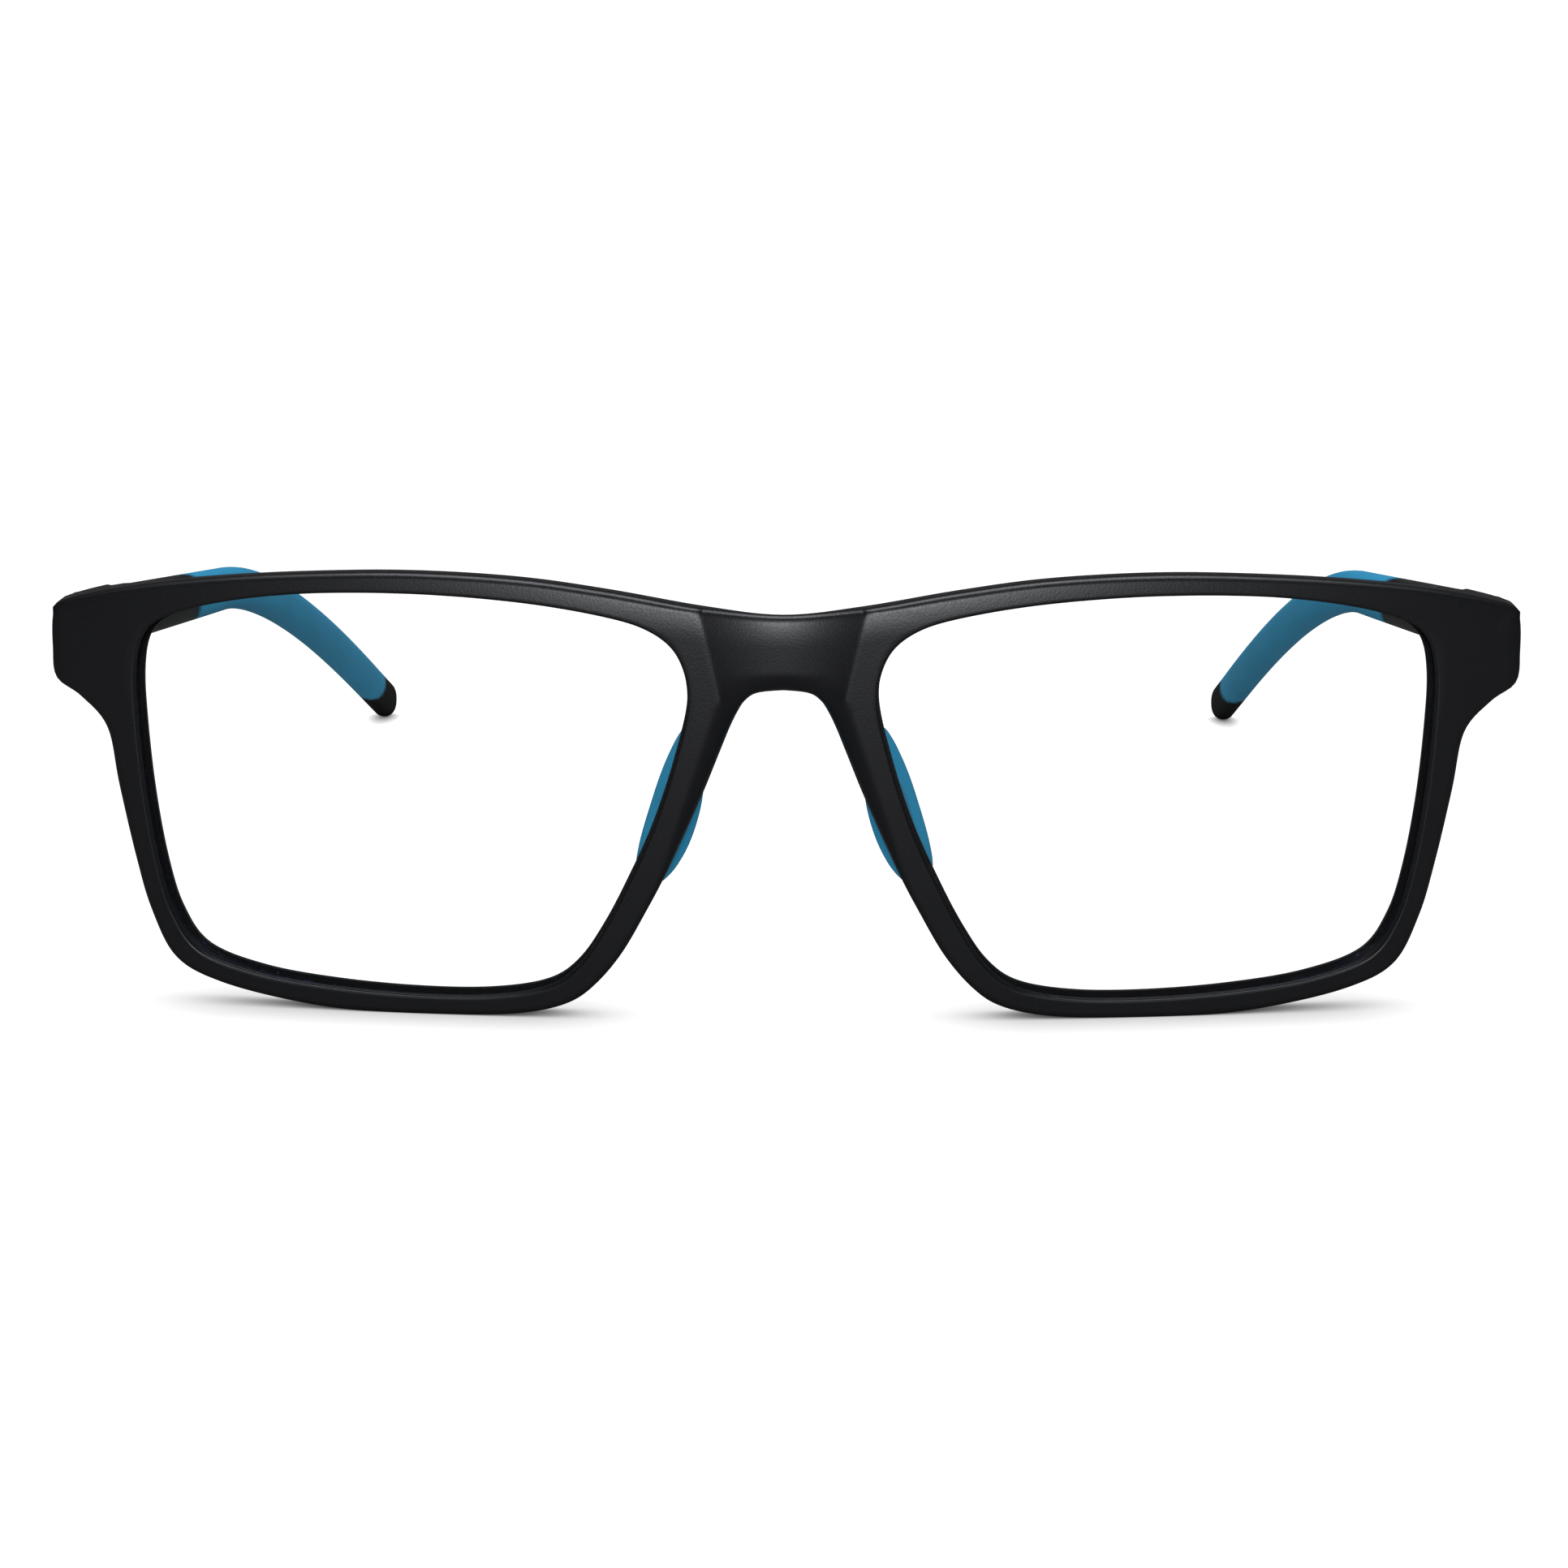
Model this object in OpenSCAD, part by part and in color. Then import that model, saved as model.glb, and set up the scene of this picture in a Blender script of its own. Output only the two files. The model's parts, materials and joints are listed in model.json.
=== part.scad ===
// Full-rim light glasses with a wrapped front, silicone nose pads and two-tone folding temples.
// X runs across the face, Y runs from the front of the frame towards the temple tips, Z is up.
// The wearer looks towards -Y, so the wearer's left is +X.
// The frame stands on its rim bottoms and its temple tips, at Z = 0.

/* [Front] */
// overall width over the endpieces
front_w = 140; // [132:1:148]
// height of the front, from the table to the highest point of the brow
front_h = 42.5; // [38:0.1:46]
// radius of the sphere that the front is wrapped on
wrap_r = 300; // [240:5:400]
// thickness of the rims from front to back
rim_t = 3.6; // [3.2:0.1:4.4]
// depth of the recessed panel around the bridge
bridge_recess = 0.6; // [0.3:0.1:1.2]

/* [Lenses] */
// thickness of each lens
lens_t = 1.8; // [1.5:0.1:2.2]
// how far the lens edge reaches into the rim
lens_bite = 0.6; // [0.4:0.05:0.8]

/* [Nose pads] */
// length of each pad
pad_l = 15.5; // [12:0.5:18]
// width of each pad from front to back
pad_w = 8.6; // [7:0.2:10]
// thickness of each pad
pad_t = 2.3; // [2:0.1:3]
// lean of the pads, top inwards
pad_lean = 18; // [12:1:24]
// flare of the pads, back edge outwards
pad_flare = 21; // [15:1:28]

/* [Temples] */
// distance from the front apex back to the hinge line
hinge_y = 14; // [13:0.5:16]
// length of the straight part of each temple
shaft_l = 35; // [31:1:42]
// drop of the straight part over its length
shaft_drop = 3; // [2:0.1:4.5]
// how far the straight part leans inwards
shaft_in = 7.8; // [6.8:0.1:8.8]
// height of the temple at the hinge
arm_h = 5.6; // [5.2:0.1:6.4]
// thickness of the temple at the hinge
arm_w = 4; // [3.6:0.1:4.4]
// height of the ear piece
ear_h = 4.4; // [4:0.1:6]
// thickness of the ear piece
ear_w = 3.1; // [2.8:0.1:3.6]

/* [Hinges] */
// radius of the hinge barrels
barrel_r = 1.2; // [1.1:0.05:1.4]
// radius of the hinge screws
screw_r = 0.7; // [0.6:0.05:0.8]

/* [Output] */
// which sub-part to draw

/* [Hidden] */
$fn = 64;
fine = 0.05;
scale_x = front_w / 140;
scale_z = front_h / 42.5;
wrap_z = 20 * scale_z;
curve_steps = 8;

// temple path: hinge end, end of the straight part, and centre of the rounded tip
arm_x = front_w / 2 - 0.6 - arm_w / 2;
arm_z = 36.2 * scale_z;
path_a = [arm_x, hinge_y, arm_z];
path_b = path_a + [-shaft_in, sqrt(pow(shaft_l, 2) - pow(shaft_drop, 2) - pow(shaft_in, 2)), -shaft_drop];
path_c = [path_b[0] - 6.4, path_b[1] + 93.5, ear_h / 2];
shaft_dir = (path_b - path_a) / norm(path_b - path_a);
tip_dir = [-0.04, 1, -0.37] / norm([-0.04, 1, -0.37]);

// how far the curve round the ear follows the straight part, and then the direction of the tip
bend_handle = 16.5;
tip_handle = 24.5;

// where the sub-parts of the temple meet along its path, from 0 at the hinge to 2 at the tip
arm_end = 0.68;
sleeve_end = 1.88;
wire_start = 0.5;
wire_end = 1.96;

// whole model is centred front to back, so the origin is under the middle of its bounding box
front_y = 0.14;
back_y = path_c[1] + ear_h / 2;
centre_y = (front_y + back_y) / 2;

// hinge
hinge_x = front_w / 2 - 0.6 - arm_w - 1.3;
knuckle_h = 1.5;
knuckle_gap = 0.05;
barrel_h = 3 * knuckle_h + 2 * knuckle_gap;
barrel_drop = 0.45;
barrel_z = arm_z - barrel_h / 2 - barrel_drop;
bore_r = screw_r + 0.05;
leaf_x = hinge_x + 0.65;
leaf_t = 0.9;
leaf_y0 = hinge_y + 1.5;
leaf_l = 8;
leaf_h = 4.2;
leaf_lean = atan(shaft_in / (path_b[1] - path_a[1]));

// half of the front's outline, from the middle of the brow round to the nose arch
half_outline = [
    [0, 38.8], [7.5, 39.6], [16.5, 41.1], [25, 42.15], [35, 42.55], [44.5, 42.25], [54, 41.5], [62.5, 40.4],
    [69.2, 38.8], [69.95, 37.6], [70, 34.5], [69.7, 31.6], [67.2, 29.9], [64.8, 27], [63.8, 21.5],
    [62.4, 14.6], [61, 9.2], [58.7, 4.6], [54.3, 2.3], [47, 0.65], [40, -0.06], [31, -0.06],
    [25, 0.35], [20.9, 1.35], [18.3, 3.1], [15.5, 6.45], [12.9, 11], [11.2, 14.3], [9.5, 17.9],
    [7.65, 22.2], [6, 26.3], [4.5, 29.9], [2.7, 31.7], [0, 32.05]
];

// visible edge of one lens, from the nasal side over the top
lens_outline = [
    [9.05, 31], [9.9, 35.1], [12.5, 37.5], [17, 38.95], [25, 40.15], [35, 40.75], [45, 40.45], [53, 39.4],
    [58.3, 37.8], [60.6, 35.9], [61.4, 32.5], [61.3, 27.5], [60.7, 20.5], [59.65, 13.8], [58.25, 8.9],
    [55.7, 5.35], [50.2, 3.4], [43, 2.4], [35, 1.95], [28, 2.1], [22.6, 3.1], [19.6, 5.2], [17.1, 8.9],
    [14.75, 13.5], [12.4, 18.8], [10.4, 24.9]
];

// recessed panel: across the bridge, then down the nose side of each rim
bridge_panel = [[0, 44], [7.5, 44], [7.2, 39.8], [5.5, 31.3], [9.6, 20.1], [11.5, 14.3], [9, 12.4], [0, 24]];

// ---------- curves ----------

function spline_point(a, b, c, d, t) =
    0.5 * (2 * b + (c - a) * t + (2 * a - 5 * b + 4 * c - d) * t * t + (3 * b - a - 3 * c + d) * t * t * t);

// smooth closed curve through every point
function closed_spline(p) =
    let (n = len(p))
    [for (i = [0:n - 1], k = [0:curve_steps - 1])
        spline_point(p[(i + n - 1) % n], p[i], p[(i + 1) % n], p[(i + 2) % n], k / curve_steps)];

function sized(points) = [for (p = points) [p[0] * scale_x, p[1] * scale_z]];

function flipped(points) = [for (i = [len(points) - 1:-1:0]) [-points[i][0], points[i][1]]];

// both halves of a half outline, without repeating the points on the centre line
function both_halves(h) = concat(h, [for (p = flipped(h)) if (abs(p[0]) > 0.01) p]);

function unit(v) = v / norm(v);

// ---------- shared shapes ----------

// places a sub-part on the wearer's left (1) or right (-1), with the origin mid-way front to back
module on_side(side) {
    translate([0, -centre_y, 0])
        mirror([side > 0 ? 0 : 1, 0, 0])
            children();
}

// extrudes a front view drawing (X, Z) from the front backwards
module front_prism(depth) {
    translate([0, depth, 0])
        rotate([90, 0, 0])
            linear_extrude(depth + 2)
                children();
}

// extrudes a top view drawing (X, Y) over the full height
module plan_prism(z0, z1) {
    translate([0, 0, z0])
        linear_extrude(z1 - z0)
            children();
}

// ball whose surface lies a given depth behind the wrapped front
module wrap_ball(depth) {
    translate([0, wrap_r, wrap_z])
        sphere(wrap_r - depth, $fn = 400);
}

module wrap_shell(depth, thickness) {
    difference() {
        wrap_ball(depth);
        wrap_ball(depth + thickness);
    }
}

module lens_shape(grow) {
    offset(delta = grow)
        polygon(closed_spline(sized(lens_outline)));
}

module outline_shape() {
    polygon(closed_spline(both_halves(sized(half_outline))));
}

module box(low, high) {
    translate(low)
        cube(high - low);
}

// ---------- front ----------

// corner of the front that turns back to meet the temple, seen from above
module endpiece_plan() {
    inner = hinge_x + 1.3;
    outer = front_w / 2;
    hull() {
        translate([inner, 9, 0])
            square([outer - 0.6 - inner, hinge_y - 9]);
        translate([inner - 3.5, 6, 0])
            square([1, 5]);
        translate([outer - 2, 9.6])
            circle(2);
    }
}

module hinge_boss_plan() {
    translate([hinge_x - 1.4, 8])
        square([3, hinge_y - 2 - 8]);
}

module front_body() {
    intersection() {
        front_prism(18)
            outline_shape();
        wrap_ball(0);
        union() {
            intersection() {
                wrap_shell(0, rim_t);
                box([-front_w / 2 + 1.5, -5, 0], [front_w / 2 - 1.5, 20, 60]);
            }
            for (flip = [0, 1])
                mirror([flip, 0, 0]) {
                    plan_prism(31.2 * scale_z, 60)
                        endpiece_plan();
                    plan_prism(barrel_z - 0.6, barrel_z + barrel_h + 0.6)
                        hinge_boss_plan();
                }
        }
    }
}

module lens_seat() {
    front_prism(30)
        lens_shape(0);
    intersection() {
        front_prism(30)
            lens_shape(lens_bite + fine);
        wrap_shell((rim_t - lens_t) / 2 - fine, lens_t + 2 * fine);
    }
}

module bridge_cut() {
    difference() {
        front_prism(12)
            polygon(both_halves(sized(bridge_panel)));
        wrap_ball(bridge_recess);
    }
}

// moulded tongue behind the nasal rim that the nose pad slides on to
module pad_tongue() {
    translate([pad_x() - 0.2, 0, pad_z()])
        rotate([0, -pad_lean, 0])
            translate([-0.45, 2.6, -2.5])
                cube([0.9, 6.6, 5]);
}

function pad_x() = 10.9 * scale_x;
function pad_y() = rim_t + 5;
function pad_z() = 19.6 * scale_z;

module front_frame() {
    color("#202124")
    on_side(1)
    difference() {
        union() {
            front_body();
            for (flip = [0, 1])
                mirror([flip, 0, 0])
                    pad_tongue();
        }
        bridge_cut();
        for (flip = [0, 1])
            mirror([flip, 0, 0]) {
                lens_seat();
                hinge_front();
                hinge_pocket();
            }
    }
}

module lens() {
    color("#dfe8ee", 0.3)
    intersection() {
        front_prism(30)
            lens_shape(lens_bite);
        wrap_shell((rim_t - lens_t) / 2, lens_t);
    }
}

module lens_left() { on_side(1) lens(); }

module lens_right() { on_side(-1) lens(); }

// ---------- nose pads ----------

module pad_outline() {
    r = pad_w / 2;
    hull() {
        translate([0, pad_l / 2 - r])
            circle(r);
        translate([0, r - pad_l / 2])
            circle(r * 0.94);
    }
}

module nose_pad() {
    color("#3c84a8")
    difference() {
        translate([pad_x(), pad_y(), pad_z()])
            rotate([0, -pad_lean, -pad_flare])
                intersection() {
                    rotate([90, 0, 90])
                        translate([0, 0, -pad_t / 2])
                            linear_extrude(pad_t)
                                pad_outline();
                    translate([29.2 - pad_t / 2 + 1, 0, 0])
                        sphere(30, $fn = 128);
                }
        pad_tongue();
    }
}

module nose_pad_left() { on_side(1) nose_pad(); }

module nose_pad_right() { on_side(-1) nose_pad(); }

// ---------- hinges ----------

module barrel(z0, h) {
    translate([hinge_x, hinge_y, z0])
        cylinder(r = barrel_r, h = h);
}

module middle_gap(extra) {
    translate([hinge_x, hinge_y, barrel_z + knuckle_h])
        cylinder(r = barrel_r + extra, h = knuckle_h + 2 * knuckle_gap);
}

module screw_bore() {
    translate([hinge_x, hinge_y, barrel_z - 1])
        cylinder(r = bore_r, h = barrel_h + 2);
}

// room for the barrels and the screw head
module hinge_pocket() {
    translate([hinge_x, hinge_y, barrel_z - 0.1])
        cylinder(r = barrel_r + 0.15, h = 30);
}

// shank and two outer knuckles, without the bore
module hinge_front() {
    difference() {
        union() {
            barrel(barrel_z, barrel_h);
            box([hinge_x - 0.5, 9.7, barrel_z], [hinge_x + 0.5, hinge_y, barrel_z + barrel_h]);
        }
        middle_gap(0.15);
    }
}

module hinge_front_metal() {
    color("#9a9da1")
    difference() {
        hinge_front();
        screw_bore();
    }
}

module hinge_front_left() { on_side(1) hinge_front_metal(); }

module hinge_front_right() { on_side(-1) hinge_front_metal(); }

module hinge_screw() {
    color("#b4b6b9")
    difference() {
        translate([hinge_x, hinge_y, 0]) {
            translate([0, 0, barrel_z])
                cylinder(r = screw_r, h = barrel_h + 0.2);
            translate([0, 0, barrel_z + barrel_h + 0.01])
                cylinder(r = screw_r + 0.35, h = 0.5);
        }
        box([hinge_x - 2, hinge_y - 0.12, barrel_z + barrel_h + 0.26],
            [hinge_x + 2, hinge_y + 0.12, barrel_z + barrel_h + 2]);
    }
}

module hinge_screw_left() { on_side(1) hinge_screw(); }

module hinge_screw_right() { on_side(-1) hinge_screw(); }

// turns the hinge leaf and its screws to lie along the inner face of the temple
module along_temple() {
    translate([leaf_x, leaf_y0, 0])
        rotate([0, 0, leaf_lean])
            translate([-leaf_x, -leaf_y0, 0])
                children();
}

// leaf recessed into the temple, with one middle knuckle, without the bore
module hinge_leaf() {
    knuckle_z = barrel_z + knuckle_h + knuckle_gap;
    barrel(knuckle_z, knuckle_h);
    box([hinge_x, hinge_y, knuckle_z], [leaf_x + leaf_t, leaf_y0 + 1, knuckle_z + knuckle_h]);
    along_temple()
        box([leaf_x, leaf_y0, arm_z - leaf_h / 2], [leaf_x + leaf_t, leaf_y0 + leaf_l, arm_z + leaf_h / 2]);
}

module hinge_temple_metal() {
    color("#9a9da1")
    difference() {
        hinge_leaf();
        screw_bore();
        leaf_screws();
    }
}

module hinge_temple_left() { on_side(1) hinge_temple_metal(); }

module hinge_temple_right() { on_side(-1) hinge_temple_metal(); }

// two small screws that hold the leaf to the temple
module leaf_screws() {
    along_temple()
        for (y = [leaf_y0 + 2.4, leaf_y0 + 5.8])
            translate([leaf_x, y, arm_z])
                rotate([0, 90, 0]) {
                    translate([0, 0, -0.2])
                        cylinder(r = 0.85, h = 0.5);
                    cylinder(r = 0.5, h = 3);
                }
}

module leaf_screws_left() { color("#b4b6b9") on_side(1) leaf_screws(); }

module leaf_screws_right() { color("#b4b6b9") on_side(-1) leaf_screws(); }

// ---------- temples ----------

// the path parameter runs from 0 to 1 along the straight part and from 1 to 2 round the ear
function path_point(u) =
    u <= 1
    ? path_a + (path_b - path_a) * u
    : let (t = u - 1, p1 = path_b + shaft_dir * bend_handle, p2 = path_c - tip_dir * tip_handle)
        pow(1 - t, 3) * path_b + 3 * t * pow(1 - t, 2) * p1 + 3 * t * t * (1 - t) * p2 + pow(t, 3) * path_c;

function path_direction(u) =
    u < 1 ? shaft_dir : unit(path_point(min(u + 0.005, 2)) - path_point(min(u, 1.999) - 0.005));

function path_across(u) = let (d = path_direction(u)) unit([1, 0, 0] - d * d[0]);

function path_up(u) = cross(path_across(u), path_direction(u));

function section_w(u) = arm_w + (ear_w - arm_w) * min(u, 1.4) / 1.4;

function section_h(u) = u < 1 ? arm_h + (ear_h - arm_h) * u : ear_h;

// boxy at the hinge, rounder towards the ear
function section_power(u) = max(2.4, 5 - 2.6 * u);

function rounded(v, power) = sign(v) * pow(abs(v), 2 / power);

ring_n = 20;

function section_ring(u, w, h, power, centre) =
    [for (k = [0:ring_n - 1])
        let (a = 360 * (k + 0.5) / ring_n)
        centre + path_across(u) * rounded(cos(a), power) * w / 2
        + path_up(u) * rounded(sin(a), power) * h / 2];

function temple_ring(u) = section_ring(u, section_w(u), section_h(u), section_power(u), path_point(u));

// rings that close the end of the temple with a rounded cap
function cap_rings(steps) =
    [for (i = [1:steps])
        let (a = 85 * i / steps, r = section_h(2) / 2)
        section_ring(2, section_w(2) * cos(a), section_h(2) * cos(a), 2.4,
            path_c + path_direction(2) * r * sin(a))];

// closed solid through a list of rings
module loft(rings) {
    n = len(rings[0]);
    last = len(rings) - 1;
    sides = [for (i = [0:last - 1], k = [0:n - 1])
        let (a = i * n + k, b = i * n + (k + 1) % n)
        each [[a, b, a + n], [b, b + n, a + n]]];
    start = [for (k = [n - 1:-1:0]) k];
    finish = [for (k = [0:n - 1]) last * n + k];
    polyhedron(points = [for (r = rings) each r], faces = concat(sides, [start, finish]));
}

function steps_between(u0, u1, n) = [for (i = [0:n]) u0 + (u1 - u0) * i / n];

// square-edged section of the flat core wire
function wire_ring(u) =
    [for (c = [[1, 1], [-1, 1], [-1, -1], [1, -1]])
        path_point(u) + path_across(u) * c[0] * 0.5 + path_up(u) * c[1]];

module temple_wire() {
    loft([for (u = concat([wire_start], steps_between(1, wire_end, 9))) wire_ring(u)]);
}

module temple_arm() {
    color("#202124")
    difference() {
        loft([for (u = [-0.03, arm_end]) temple_ring(u)]);
        box([40, hinge_y - 8, 0], [90, hinge_y + fine, 60]);
        translate([hinge_x, hinge_y, 0])
            cylinder(r = barrel_r + 0.15, h = 60);
        hinge_leaf();
        leaf_screws();
        temple_wire();
    }
}

module temple_arm_left() { on_side(1) temple_arm(); }

module temple_arm_right() { on_side(-1) temple_arm(); }

module temple_core_left() { color("#8d9094") on_side(1) temple_wire(); }

module temple_core_right() { color("#8d9094") on_side(-1) temple_wire(); }

module temple_sleeve() {
    color("#28769c")
    difference() {
        loft([for (u = concat([arm_end], steps_between(1, sleeve_end, 12))) temple_ring(u)]);
        temple_wire();
    }
}

module temple_sleeve_left() { on_side(1) temple_sleeve(); }

module temple_sleeve_right() { on_side(-1) temple_sleeve(); }

module temple_tip() {
    color("#202124")
    difference() {
        loft(concat([for (u = steps_between(sleeve_end, 2, 3)) temple_ring(u)], cap_rings(4)));
        temple_wire();
    }
}

module temple_tip_left() { on_side(1) temple_tip(); }

module temple_tip_right() { on_side(-1) temple_tip(); }

// ---------- output ----------

front_frame();
lens_left();
lens_right();
nose_pad_left();
nose_pad_right();
hinge_front_left();
hinge_front_right();
hinge_screw_left();
hinge_screw_right();
hinge_temple_left();
hinge_temple_right();
leaf_screws_left();
leaf_screws_right();
temple_arm_left();
temple_arm_right();
temple_core_left();
temple_core_right();
temple_sleeve_left();
temple_sleeve_right();
temple_tip_left();
temple_tip_right();
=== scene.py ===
"""Looks for a pair of full-rim light glasses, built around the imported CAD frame.

Blender objects are in metres in the CAD frame: X across the face, -Y the way the wearer looks, Z up.
Shapes are worked out in millimetres, with Y counted from the front apex of the glasses, and are
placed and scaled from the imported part's own boxes, joints and mounts.
"""

import json

import bmesh
import bpy
import numpy as np
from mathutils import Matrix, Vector


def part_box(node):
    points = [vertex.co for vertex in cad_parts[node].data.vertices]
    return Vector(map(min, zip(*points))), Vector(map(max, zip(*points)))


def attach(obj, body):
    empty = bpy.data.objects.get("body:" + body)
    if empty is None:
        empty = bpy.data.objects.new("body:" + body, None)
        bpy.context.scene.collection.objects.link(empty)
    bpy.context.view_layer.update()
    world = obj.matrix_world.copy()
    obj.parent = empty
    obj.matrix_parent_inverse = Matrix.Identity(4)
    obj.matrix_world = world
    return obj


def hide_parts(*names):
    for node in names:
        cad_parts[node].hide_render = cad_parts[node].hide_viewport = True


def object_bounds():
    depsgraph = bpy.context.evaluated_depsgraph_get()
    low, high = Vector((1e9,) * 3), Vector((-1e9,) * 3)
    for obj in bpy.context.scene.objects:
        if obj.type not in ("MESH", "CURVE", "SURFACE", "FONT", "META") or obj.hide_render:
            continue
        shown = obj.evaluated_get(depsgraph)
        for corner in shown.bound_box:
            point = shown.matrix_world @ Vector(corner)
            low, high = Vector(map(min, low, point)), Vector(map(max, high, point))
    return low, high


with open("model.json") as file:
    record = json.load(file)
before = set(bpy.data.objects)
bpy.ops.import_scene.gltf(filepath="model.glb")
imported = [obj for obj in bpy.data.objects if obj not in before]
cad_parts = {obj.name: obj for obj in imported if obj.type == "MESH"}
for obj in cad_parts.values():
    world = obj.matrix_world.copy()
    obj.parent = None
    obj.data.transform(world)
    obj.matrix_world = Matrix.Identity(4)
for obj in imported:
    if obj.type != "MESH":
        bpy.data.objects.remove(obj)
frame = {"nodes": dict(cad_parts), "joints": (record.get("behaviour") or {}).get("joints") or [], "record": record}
cad_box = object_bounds()

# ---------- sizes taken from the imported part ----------

MM = 0.001
joints = {j["name"]: j for j in frame["joints"]}
mounts = {m["name"]: m for m in frame["record"]["mounts"]}
front_low, front_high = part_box("front_frame")
pad_low, pad_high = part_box("nose_pad_left")

# width and height that the outlines below are drawn at, and how far the hinge is behind the apex
DRAWN_W, DRAWN_H = 140, 42.5
HINGE_Y = 14.0

hinge_x, hinge_row_y, hinge_z = (v / MM for v in joints["left_temple_fold"]["pos_m"])
apex_y = hinge_row_y - HINGE_Y
tip_centre = np.array(mounts["cord_end_left"]["pos_m"]) / MM - [0, apex_y, 0]
tip_direction = np.array(mounts["cord_end_left"]["axis"])
scale_x = (front_high.x - front_low.x) / MM / DRAWN_W
scale_z = front_high.z / MM / DRAWN_H

# ---------- front, in mm seen from the front ----------

# the face is part of a sphere whose middle is at this height
WRAP_R = 300.0
WRAP_Z = 20.0 * scale_z
RIM_T = 3.6

# radii of the rounded edges: outside of the face, lens lips of the face, and both edges of the rear
OUTER_ROUND = 0.55
LIP_ROUND = 0.25
BACK_ROUND = 0.2

# brow: how far its rear edge sits below the front one, and how its face rolls back near the top
BROW_STEP = 0.2
BROW_STEP_REACH = 1.5
ROLL = 0.03
ROLL_WIDTH = 3.0

# lens openings: how much wider the front lip is, first everywhere and then added on the temple side
LIP_STEP = (0.15, 0.45)
LIP_STEP_REACH = 1.2
LIP_DEPTH = 0.5
LIP_BEVEL = 0.08
LENS_BITE = 0.6
LENS_T = 1.8
LENS_FRONT = (RIM_T - LENS_T) / 2

# room for the lens in its groove: in front of it and behind it, and past its edge
GROOVE_PLAY = 0.05
GROOVE_EXTRA = 0.04

# panel scooped out of the bridge, and the facet that goes on down the nose side of each rim. The last
# two lines are the drawn heights over which the facet fades in, and over which it turns into the panel
SCOOP_DEPTH = 1.2
FACET_SLOPE = 0.75
RIDGE_SOFTNESS = 0.18
FACET_START = (12.6, 17.0)
PANEL_START = (29.0, 33.5)

# block behind each endpiece that carries the hinge, with X counted from the hinge axis: where it fades
# in (the heights as drawn), where its rear slopes, the slope's first Y, and the hollow round the barrel
BLOCK_START_X = (-2.8, -1.8)
BLOCK_START_Z = (30.2, 31.6)
BLOCK_SLOPE_X = (-2.2, 1.3)
BLOCK_FRONT_Y = 11.0
BARREL_ROOM = 1.4

# front edge of the outline, from the middle of the brow round to the nose arch
HALF_OUTLINE = [
    (0, 39.0), (7.5, 39.8), (16.5, 41.3), (25, 42.35), (35, 42.75), (44.5, 42.45), (54, 41.7), (62.5, 40.55),
    (69.25, 38.9), (70.05, 37.6), (70.15, 34.5), (69.85, 31.6), (67.4, 29.85), (64.9, 27), (63.9, 21.5),
    (62.5, 14.6), (61.1, 9.2), (58.8, 4.5), (54.4, 2.2), (47, 0.6), (40, -0.06), (31, -0.06),
    (25, 0.3), (20.85, 1.3), (18.2, 3.05), (15.4, 6.4), (12.8, 11), (11.1, 14.3), (9.4, 17.9),
    (7.5, 22.2), (5.85, 26.3), (4.95, 28.5), (4.15, 30.1), (3.5, 31.0), (2.4, 31.6), (0, 31.7),
]
# rear lip of one lens opening, from the nasal side over the top
LENS_OUTLINE = [
    (9.05, 31), (9.9, 35.1), (12.5, 37.5), (17, 38.9), (25, 40.1), (35, 40.68), (45, 40.42), (53, 39.35),
    (58.3, 37.8), (60.6, 35.9), (61.4, 32.5), (61.3, 27.5), (60.7, 20.5), (59.65, 13.8), (58.25, 8.9),
    (55.7, 5.35), (50.2, 3.4), (43, 2.4), (35, 1.95), (28, 2.1), (22.6, 3.1), (19.6, 5.2), (17.1, 8.9),
    (14.75, 13.5), (12.4, 18.8), (10.4, 24.9),
]
# moulded ridge beside the bridge and down the nose side of the rim, from the bottom up
RIDGE = [(12.3, 12.2), (11.45, 14.3), (9.55, 20.1), (5.75, 31.0), (7.9, 39.6), (8.2, 41.0)]
PANEL_CORNER, PANEL_TOP = RIDGE[3], RIDGE[4]

# ---------- fineness of the meshes ----------

SPLINE_STEPS = 8
LIP_POINTS = 400
RIM_COLUMNS = 280
RIDGE_ROWS = 22
BRIDGE_COLUMNS = 28
RING_STEPS = 8
WALL_STEPS = 5
TEMPLE_RING = 40
PATH_POINTS = 801
LENS_POINTS = 181

# pairing of the outline with a lens lip: points tried round the lip, and how many neighbours even it out
PAIRING_POINTS = 2401
PAIRING_SPREAD = 9

# points compared at once in a search for the nearest one, to save memory
SEARCH_CHUNK = 500

# ---------- nose pads, in mm and degrees ----------

PAD_HALF_L, PAD_HALF_W, PAD_HALF_T = 8.0, 4.25, 1.35
PAD_LEAN, PAD_FLARE = -18, -26
PAD_BOW = 0.013
PAD_INWARD, PAD_DOWN = 1.1, 0.5

# pad outline: powers of its sides and ends, and how much it narrows all along and near its top
PAD_POWERS = (0.85, 0.9)
PAD_TAPER, PAD_TOP_TAPER = 0.1, 0.2

# pad thickness: powers of its crown, and how much thinner its top is
PAD_CROWN = (3.2, 1 / 2.2)
PAD_TOP_THINNING = 0.4

# foot, at its rim end and at its pad end: X and Y counted from the middle of the pad, and half sizes
FOOT_X = (-0.25, 0.05)
FOOT_Y = (-5.2, -0.2)
FOOT_HALF_T = (0.85, 0.55)
FOOT_HALF_H = (3.4, 2.5)

# ---------- temples, in mm ----------

ARM_W, EAR_W = 4.0, 3.1
ARM_H, EAR_H = 5.6, 4.4
ARM_BESIDE_HINGE = 1.3

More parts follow.
